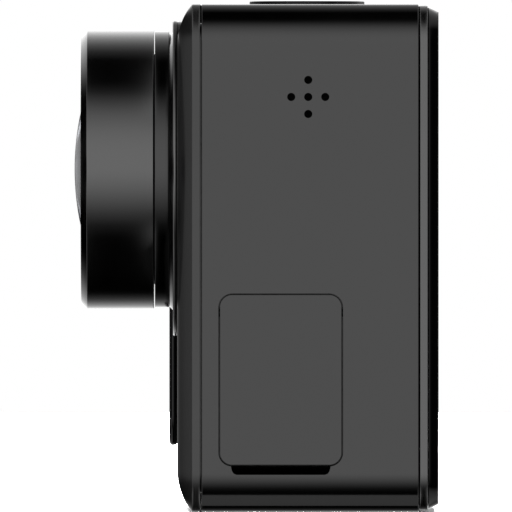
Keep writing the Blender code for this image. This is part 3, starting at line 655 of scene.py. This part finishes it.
def makeLensInside():
    for node, (name, glass, radius, top, sphere, backTop, backSphere, backRadius) in elements.items():
        front = sphereProfile(radius, top, sphere, 24)
        back = sphereProfile(backRadius, backTop, backSphere, 16)[::-1]
        edge = [(radius, front[-1, 1] - 0.04), (radius, back[0, 1] + 0.05), (radius - 0.05, back[0, 1])]
        lensPiece(name, np.concatenate([front, edge, back]), glass, "optical_glass", node, steps=96, closed=False)
    ring = filleted([(9.4, 12.66, 0.05), (9.4, 12.4, 0.05), (6.52, 12.4, 0.05), (6.52, 12.66, 0.1)])
    lensPiece("lensRetainer", ring, blackPlastic, "black_plastic", "lens_retainer", steps=96)
    # fine ridges cut inside the housing keep stray light off the sensor
    ridges = [(r, h + rise) for h in np.linspace(5.5, 9.0, 12) for r, rise in ((5.3, -0.1), (5.2, 0))]
    housing = np.concatenate([
        filleted([(4.2, -0.9, 0.05), (4.2, 5.2, 0.03), (5.3, 5.2, 0.03)], False, 3), ridges,
        filleted([(5.3, 9.2, 0.03), (6.2, 9.2, 0.03), (6.2, 12.28, 0.05), (9.5, 12.28, 0.1), (9.5, 4.6, 0.1),
        (5.9, 4.6, 0.1), (5.9, -0.9, 0.05)], False, 3)])
    lensPiece("lensHousing", housing, insidePlastic, "black_plastic", "lens_housing", steps=96)
    spacer = filleted([(5.15, 6.3, 0.04), (5.15, 5.35, 0.04), (4.5, 5.35, 0.04), (4.5, 6.3, 0.2)])
    lensPiece("lensSpacer", spacer, insidePlastic, "black_plastic", "lens_spacer", steps=96)


# back

bezel = {"width": 5.0, "edge": 0.06, "innerCorner": 1.06}
screen = {"inset": 0.24, "fall": 0.33, "curve": 1.15, "depth": 0.74, "foot": 0.28, "short": 0.03}


def makeBack():
    low, high = boxOf("rear_bezel")
    outer, edge, width = halfWidth - high[0], bezel["edge"], bezel["width"]
    front, rear = low[1], high[1]
    profile = filleted([(outer, front, edge), (outer, rear, edge), (width, rear, edge), (width, front, edge)])
    rows = ringRows(profile)
    rows[:, 2] = np.where(profile[:, 0] > width / 2, bezel["innerCorner"], rows[:, 2])
    made = lofted("rearBezel", rows, bodyAxis, "rear", closed=True, segments=24)
    finishPiece(made, "bezel_metal", bezelMetal, "rear_bezel")
    # the glass rim's inset grows as (share of its depth) ^ 1.15 towards the back, then drops in a short edge
    low, high = boxOf("screen_glass")
    share = np.linspace(0, 1, 14)
    inset = screen["inset"] + screen["fall"] * share ** screen["curve"]
    curve = np.stack([inset, low[1] + 0.03 + screen["depth"] * share], -1)
    last, end = curve[-1, 0], high[1] - screen["short"]
    tail = np.array([[last + 0.01, end - 0.03], [last + 0.04, end - 0.015], [last + 0.09, end]])
    rows = ringRows(np.concatenate([[[screen["foot"], low[1]]], curve, tail]))
    glass = lofted("screenGlass", rows, bodyAxis, "rear", segments=24, sharpAngle=35)
    finishPiece(glass, "gloss_black", screenGlassFinish, "screen_glass")


# moving pieces

button = {"radius": 4.815, "dish": 0.16, "dishRise": 0.1, "rimWidth": 0.45, "flange": (5.6, 39.6, 40.0), "stem": 1.5}
door = {"corner": 1.03, "edge": 0.06, "hollow": (0.9, 0.35, 11.2), "bore": 0.38, "beads": 0.12, "beadInset": 0.14}
plug = {"corner": 1.55, "wall": 0.3, "depth": 2.3, "tongue": (0.35, 1.1, 0.6)}
hatch = {"corner": 1.6, "edge": 0.06, "bore": 0.38, "slot": ((-27.1, 2.1), (-23.3, 6.3)), "sealWidth": 0.9,
    "thumb": ((-25.6, 2.2), (-23.4, 6.2)), "groove": (0.11, 2.6, 5.8), "grooveDepth": 0.22}


def makeShutter():
    low, high = boxOf("shutter_button")
    top, bottom = high[2], low[2]
    radius, stem, inner = button["radius"], button["stem"], button["radius"] - button["rimWidth"]
    flange, flangeLow, flangeHigh = button["flange"]
    # the thumb's dish: depth falls with the square of the distance from the middle
    dish = np.linspace(0, inner, 20)
    hollow = np.stack([dish, top - button["dish"] + button["dishRise"] * (dish / inner) ** 2], -1)
    rim = filleted([(inner, top - 0.06, 0), (inner + 0.09, top, 0.03), (radius, top, 0.12), (radius, flangeHigh, 0.03),
        (flange, flangeHigh, 0.05), (flange, flangeLow, 0.05), (stem, flangeLow, 0.05),
        (stem, bottom, 0.05), (0, bottom, 0)], False, 5)
    made = turned("shutterButton", np.concatenate([hollow, rim[1:]]), buttonMiddle, "up", 160, closed=False)
    finishPiece(made, "anodised_frame", buttonMetal, "shutter_button", body="shutter")
    ripple = filleted([(7.0, 40.05, 0.1), (7.0, 38.9, 0.2), (6.6, 38.9, 0.1), (6.4, 39.5, 0.2), (6.1, 38.9, 0.1),
        (5.8, 38.9, 0.1), (5.8, 40.05, 0.05)], steps=3)
    finishPiece(turned("shutterSeal", ripple, buttonMiddle, "up", 64), "rubber", rubberSeal, "shutter_seal")


def makePortDoor():
    low, high = boxOf("port_door")
    margin, depth, height = door["hollow"]
    made = slab("portDoor", low, high, "side", door["corner"], door["edge"], segments=16)
    hollow = slab("doorHollow", (low[0] - 1, low[1] + margin, low[2] + margin),
        (low[0] + depth, high[1] - margin, low[2] + height), "side", 0.7, 0.05)
    bore = rod("doorBore", door["bore"], -6, 10, middleOf("port_door_pin"), "rear", 32)
    carve(made, [bore, hollow])
    breakEdges(made, 0.03)
    finishPiece(made, "anodised_frame", frameMetal, "port_door", body="port_door")
    # two soft beads run round the plug (a squared cosine along its length), and its face is dished for the socket
    low, high = boxOf("port_door_gasket")
    along = np.linspace(0, 1, 40)
    inset = door["beadInset"] - door["beads"] * np.maximum(0, np.cos((along * 2.0 - 0.5) * 2 * np.pi)) ** 2
    half = (high - low) / 2
    edge = np.where(along < 0.06, 0.3 * (1 - along / 0.06), 0) + np.where(along > 0.94, 0.1 * (along - 0.94) / 0.06, 0)
    rows = np.stack([half[1] - inset - edge, half[2] - inset - edge, 1.5 - (inset + edge) / 2,
        along * 2 * half[0] - half[0]], -1)
    gasket = lofted("portDoorGasket", rows, (low + high) / 2, "side", segments=12)
    plugLow, plugHigh = boxOf("port_connector")
    carve(gasket, [slab("gasketDish", (low[0] - 1, plugLow[1] + 0.5, plugLow[2] + 0.5),
        (low[0] + 0.9, plugHigh[1] - 0.5, plugHigh[2] - 1.4), "side", 0.9, 0.1)])
    finishPiece(gasket, "rubber", rubberSeal, "port_door_gasket", body="port_door")
    for node, name in (("port_door_pin", "portDoorPin"), ("battery_door_pin", "batteryDoorPin")):
        low, high = boxOf(node)
        profile = filleted([(0, high[1], 0), (0.3, high[1], 0.1), (0.3, low[1], 0.1), (0, low[1], 0)], False, 4)
        pin = turned(name, profile, middleOf(node), "rear", 32, closed=False)
        finishPiece(pin, "steel", blackSteel, node)


def makeConnector():
    low, high = boxOf("port_connector")
    middleY = (low[1] + high[1]) / 2
    wall, (halfTongue, margin, short) = plug["wall"], plug["tongue"]
    shell = slab("portConnector", low, high, "side", plug["corner"], 0.05, segments=12)
    carve(shell, [slab("hollow", (low[0] + plug["depth"], low[1] + wall, low[2] + wall),
        (high[0] + 1, high[1] - wall, high[2] - wall), "side", 1.3, 0.05, segments=12)])
    carve(shell, [slab("tongue", (low[0] + 1.5, middleY - halfTongue, low[2] + margin),
        (high[0] - short, middleY + halfTongue, high[2] - margin), "side", 0.3, 0.1)], "UNION")
    breakEdges(shell, 0.03)
    finishPiece(shell, "steel", steelSheet, "port_connector")


def makeBatteryDoor():
    low, high = boxOf("battery_door")
    slotLow, slotHigh = hatch["slot"]
    made = slab("batteryDoor", low, high, "up", hatch["corner"], hatch["edge"], segments=16)
    bore = rod("hatchBore", hatch["bore"], -6, 14, middleOf("battery_door_pin"), "rear", 32)
    carve(made, [bore, slab("latchSlot", (*slotLow, -1), (*slotHigh, 3), "up", 0.4, 0.02)])
    breakEdges(made, 0.04)
    finishPiece(made, "anodised_frame", frameMetal, "battery_door", body="battery_door")
    low, high = boxOf("battery_door_seal")
    half, width = (high - low) / 2, hatch["sealWidth"]
    profile = filleted([(0, -half[2], 0.1), (0, half[2], 0.3), (width, half[2], 0.3), (width, -half[2], 0.1)])
    inset = profile[:, 0]
    rows = np.stack([half[0] - inset, half[1] - inset, np.maximum(1.5 - inset, 0.5), profile[:, 1]], -1)
    seal = lofted("batteryDoorSeal", rows, (low + high) / 2, "up", closed=True, segments=10)
    finishPiece(seal, "rubber", rubberSeal, "battery_door_seal", body="battery_door")
    # the latch's thumb pad carries shallow grooves across its slide
    low, high = boxOf("battery_latch")
    latch = slab("batteryLatch", (low[0], low[1], 1.6), high, "up", 0.5, 0.1)
    padLow, padHigh = hatch["thumb"]
    halfGroove, front, rear = hatch["groove"]
    pad = slab("thumb", (*padLow, low[2]), (*padHigh, 1.9), "up", 0.3, 0.08)
    carve(pad, [slab(f"groove{k}", (x - halfGroove, front, 0), (x + halfGroove, rear, low[2] + hatch["grooveDepth"]),
        "up", 0.1, 0.05) for k, x in enumerate(np.linspace(-25.2, -23.8, 4))])
    carve(latch, [pad], "UNION")
    finishPiece(latch, "black_plastic", blackPlastic, "battery_latch", body="latch")


def makeFixedPieces():
    cell = slab("batteryCell", *boxOf("battery"), "up", 1.5, 0.35, segments=12, bend=6)
    finishPiece(cell, "battery_wrap", cellWrap, "battery")
    card = slab("memoryCard", *boxOf("memory_card"), "rear", 0.8, 0.08)
    finishPiece(card, "black_plastic", blackPlastic, "memory_card")


socket = {"major": 3.175, "pitch": 1.27, "ridge": 0.55, "floor": 6.2, "rowsPerTurn": 16, "flange": (5.2, 6.95),
    "body": 4.5}


def makeTripodSocket():
    low, high = boxOf("tripod_insert")
    major, pitch, cut, floorZ, outer = (socket[key] for key in ("major", "pitch", "ridge", "floor", "body"))
    flange, flangeLow = socket["flange"]
    bottom = low[2]
    z = np.arange(bottom + 0.35, floorZ - 0.3, pitch / socket["rowsPerTurn"])
    bore = np.stack([np.full(len(z), major), z], -1)
    lead = filleted([(0, high[2], 0), (flange, high[2], 0.15), (flange, flangeLow, 0.1), (outer, flangeLow, 0.05),
        (outer, bottom, 0.12), (major + 0.25, bottom, 0.02), (major, bottom + 0.25, 0)], False, 4)
    tail = np.array([[major, floorZ - 0.2], [major, floorZ], [0, floorZ]])
    first, last = len(lead), len(lead) + len(bore)

    def threaded(r, h, angle):
        # a ridge whose height is a triangle wave of (height / pitch - angle / turn), fading at both ends
        phase = (h / pitch - angle / (2 * np.pi)) % 1.0
        ridge = np.clip(1.25 - 2.5 * np.abs(phase - 0.5), 0, 1) * cut
        fade = np.clip((h - bottom - 0.3) / 0.5, 0, 1) * np.clip((floorZ - 0.25 - h) / 0.5, 0, 1)
        rows = np.arange(len(r))[:, None]
        return np.where((rows >= first) & (rows < last), r - ridge * fade, r), h

    profile = np.concatenate([lead, bore, tail])
    insert = turned("tripodInsert", profile, socketMiddle, "up", 96, closed=False, shape=threaded)
    finishPiece(insert, "brass", socketBrass, "tripod_insert")
    mesh = slab("speakerMesh", *boxOf("speaker_mesh"), "side", 1.0, 0.05)
    finishPiece(mesh, "steel", grilleMesh, "speaker_mesh")


makeMidFrame()
makeFrontCover()
makeFrontPanel()
print("body shell made")
makeLensBase()
makeLensBarrel()
makeLensInside()
print("lens made")
makeBack()
makeShutter()
makePortDoor()
makeConnector()
makeBatteryDoor()
makeFixedPieces()
makeTripodSocket()
print("back and moving pieces made")

# CAD nodes that keep their own shape
kept = [
    (steelSheet, ["microphone", "board_shield", "display_bracket", "shutter_switch", "card_socket"]),
    (pinSteel, [f"bracket_screw_{k}" for k in range(1, 5)] + ["board_screw_1", "board_screw_2"]),
    (boardMask, ["sensor_board", "main_board", "switch_board", "port_board"]),
    (filmFlex, ["sensor_flex", "wifi_antenna", "display_flex"]), (chipEpoxy, ["processor", "display_panel"]),
    (insidePlastic, ["lens_holder", "speaker", "battery_tray"]), (filterGlass, ["ir_filter"]),
    (sensorGlass, ["image_sensor"]), (heatMetal, ["heat_spreader"]), (contactGold, ["battery_contacts"]),
]
for material, nodes in kept:
    for node in nodes:
        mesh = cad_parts[node].data
        mesh.materials.clear()
        mesh.materials.append(material)

# stage, lights and camera

studio = {
    "floorHalf": 0.5, "floorDrop": 0.02, "overhead": (0.7, 140.0), "frontFill": (0.5, 1.6), "rearFill": (0.5, 3.0),
    "edgeCard": {"x": 31.65, "width": 1.7, "power": 0.00004},
    # (angle in degrees, light level): 0 is the port side, 90 overhead, 180 the far side
    "levels": [(-180, 1.85), (-166, 1.2), (-150, 0.66), (-139, 0.2), (-132, 0.08), (-126, 0.01), (-120, 0), (-58, 0),
        (-47, 0.05), (-37, 0.23), (-26, 0.51), (-15, 0.8), (-5, 1.0), (0, 1.05), (15, 1.04), (25, 0.98), (33, 0.88),
        (46, 0.61), (57, 0.29), (67, 0.06), (76, 0.0), (104, 0.0), (115, 0.12), (125, 0.41), (137, 0.95),
        (150, 1.7), (165, 2.2), (180, 2.2)],
    # (result, operation, terms): an easing step takes a value, its low and high ends and the two levels there,
    # which are 0 and 1 unless given
    "steps": [
        ("lean", "ABSOLUTE", "y"), ("climb", "ABSOLUTE", "z"), ("kept", "MAXIMUM", "lean", 0.02),
        ("slope", "DIVIDE", "climb", "kept"), ("level", "MULTIPLY", "ramp", "top"),
        # a soft box ahead and one behind light the faces that look that way; both leave eye level dark
        ("frontBox", "EASE", "y", -0.75, -0.4, 0.9, 0), ("portHalf", "EASE", "x", 0.04, 0.25),
        ("notch", "EASE", "climb", 0.06, 0.2), ("frontBox", "MULTIPLY", "frontBox", "portHalf"),
        ("frontBox", "MULTIPLY", "frontBox", "notch"),
        ("rearBox", "EASE", "y", 0.35, 0.7, 0, 0.7), ("farHalf", "EASE", "x", -0.1, 0.05, 1, 0),
        ("square", "EASE", "y", 0.8, 0.9), ("farHalf", "MAXIMUM", "farHalf", "square"),
        ("rearBox", "MULTIPLY", "rearBox", "farHalf"),
        # strips above and below, to both sides of the body's own middle plane
        ("strips", "EASE", "lean", 0.1, 0.28), ("steep", "EASE", "climb", 0.6, 0.85, 0, 0.8),
        ("strips", "MULTIPLY", "strips", "steep"), ("rearBox", "MAXIMUM", "rearBox", "strips"),
        # what the port half of the room shows
        ("fade", "EASE", "lean", 0.45, 0.75, 1, 0), ("ahead", "MULTIPLY", "level", "fade"),
        ("ahead", "ADD", "ahead", "frontBox"), ("ahead", "ADD", "ahead", "rearBox"),
        # what the far half shows: bright where a direction climbs more than it leans, and a soft eye-level band
        ("bandFade", "EASE", "slope", 0.09, 0.24, 1, 0), ("band", "EASE", "lean", 0.06, 0.2, 0.1, 0.37),
        ("band", "MULTIPLY", "band", "bandFade"), ("bandSide", "EASE", "x", -0.15, -0.03, 1, 0),
        ("band", "MULTIPLY", "band", "bandSide"), ("climbing", "EASE", "slope", 0.5, 0.8),
        ("behind", "MULTIPLY", "level", "climbing"), ("behind", "ADD", "behind", "band"),
        ("behind", "ADD", "behind", "rearBox"), ("side", "EASE", "x", -0.15, 0.05),
    ],
}


def makeFloor():
    half, drop = studio["floorHalf"], -studio["floorDrop"] * mm
    mesh = bpy.data.meshes.new("floor")
    corners = [(-half, -half, drop), (half, -half, drop), (half, half, drop), (-half, half, drop)]
    mesh.from_pydata(corners, [], [(0, 1, 2, 3)])
    floor = newObject("floor", mesh)
    # white paper, seen from above only
    material, tree, _, _ = startMaterial("matteWhitePaperFloor", "f6f6f6", 0.9, Specular_IOR_Level=0.0)
    facing = addNode(tree, "NewGeometry").outputs["Backfacing"]
    addNode(tree, "MixShader", {0: facing, 1: tree.nodes["Principled BSDF"], 2: addNode(tree, "BsdfTransparent")},
        tree.nodes["Material Output"].inputs["Surface"])
    mesh.materials.append(material)
    floor.visible_glossy = floor.visible_diffuse = floor.visible_transmission = False
    return floor


def makeWorld():
    # a wrap-round studio: the light's level follows the angle about the front-to-back line
    world = bpy.data.worlds.new("studio")
    bpy.context.scene.world = world
    world.use_nodes = True
    tree = world.node_tree
    tree.nodes.clear()
    way = addNode(tree, "TexCoord").outputs["Generated"]
    parts = addNode(tree, "SeparateXYZ", {"Vector": way}).outputs
    turn = addNode(tree, "Math", {0: parts["Z"], 1: parts["X"]}, operation="ARCTAN2")
    share = addNode(tree, "MapRange", {"Value": turn, "From Min": -math.pi, "From Max": math.pi})
    ramp = addNode(tree, "ValToRGB", {"Fac": share})
    stops = ramp.color_ramp.elements
    while len(stops) > 1:
        stops.remove(stops[-1])
    top = max(level for _, level in studio["levels"])
    for k, (angle, level) in enumerate(studio["levels"]):
        stop = stops[0] if k == 0 else stops.new((angle + 180) / 360)
        stop.position = (angle + 180) / 360
        stop.color = (level / top, level / top, level / top, 1)
    found = {"x": parts["X"], "y": parts["Y"], "z": parts["Z"], "ramp": ramp, "top": top}
    easeInputs = ("Value", "From Min", "From Max", "To Min", "To Max")
    for result, work, *terms in studio["steps"]:
        terms = [found.get(term, term) for term in terms]
        if work == "EASE":
            found[result] = addNode(tree, "MapRange", dict(zip(easeInputs, terms)), interpolation_type="SMOOTHSTEP")
        else:
            found[result] = addNode(tree, "Math", dict(enumerate(terms)), operation=work)
    mixed = addNode(tree, "Mix", {"Factor": found["side"], "A": found["behind"], "B": found["ahead"]})
    # the backdrop itself is plain white, and only reflections and the light that falls see the room
    direct = addNode(tree, "LightPath").outputs["Is Camera Ray"]
    seen = addNode(tree, "Mix", {"Factor": direct, "A": mixed, "B": 1.0})
    addNode(tree, "OutputWorld", {"Surface": addNode(tree, "Background", {"Color": seen, "Strength": 1.0})})


def areaLight(name, place, aim, size, power, seenInGloss=True):
    data = bpy.data.lights.new(name, "AREA")
    data.shape, data.size, data.energy = "SQUARE", size, power
    made = newObject(name, data)
    made.location = place
    made.rotation_mode = "QUATERNION"
    made.rotation_quaternion = (aim - made.location).to_track_quat("-Z", "Y")
    made.visible_glossy = made.visible_transmission = seenInGloss
    made.visible_camera = False
    return made


view = {"length": 1650.0, "filmWidth": 36.0, "width": 42.0, "rise": 0.5, "nearSide": 2.0}


def makeCamera():
    # a long lens stands square to the port side, raised by half a degree
    length, rise = view["length"], math.radians(view["rise"])
    data = bpy.data.cameras.new("camera")
    data.lens = length
    data.sensor_width = view["filmWidth"]
    made = newObject("camera", data)
    far = view["width"] * mm * length / view["filmWidth"]
    aim = (cadBox[0] + cadBox[1]) / 2
    aim.x = cadBox[1].x - view["nearSide"] * mm
    away = Vector((math.cos(rise), 0.0, math.sin(rise)))
    made.location = aim + away * far
    made.rotation_mode = "QUATERNION"
    made.rotation_quaternion = away.to_track_quat("Z", "Y")
    data.clip_start = 0.05
    data.clip_end = far + 2
    bpy.context.scene.camera = made
    bpy.context.scene.view_settings.view_transform = "Standard"


floor = makeFloor()
makeWorld()
makeCamera()
aim = (cadBox[0] + cadBox[1]) / 2
overhead = areaLight("overheadFloorLight", aim + Vector((0, 0, 0.7)), aim, *studio["overhead"])
onlyFloor = bpy.data.collections.new("floorOnly")
onlyFloor.objects.link(floor)
overhead.light_linking.receiver_collection = onlyFloor
areaLight("frontFill", aim + Vector((0.05, -0.6, 0.0)), aim, *studio["frontFill"], seenInGloss=False)
areaLight("rearFill", aim + Vector((-0.1, 0.6, 0.2)), aim, *studio["rearFill"], seenInGloss=False)
# two narrow cards lie just under the frame's long lower edges and lift the dark of their fillets
card = studio["edgeCard"]
for sideways, name in ((1, "portEdgeCard"), (-1, "farEdgeCard")):
    place = Vector((sideways * card["x"] * mm, frameMiddle[1] * mm, -0.01 * mm))
    lift = areaLight(name, place, place + Vector((0, 0, 1)), card["width"] * mm, card["power"])
    lift.data.shape = "RECTANGLE"
    lift.data.size_y = (frameHigh[1] - frameLow[1]) * mm
    lift.visible_transmission = False
print("stage, lights and camera made")
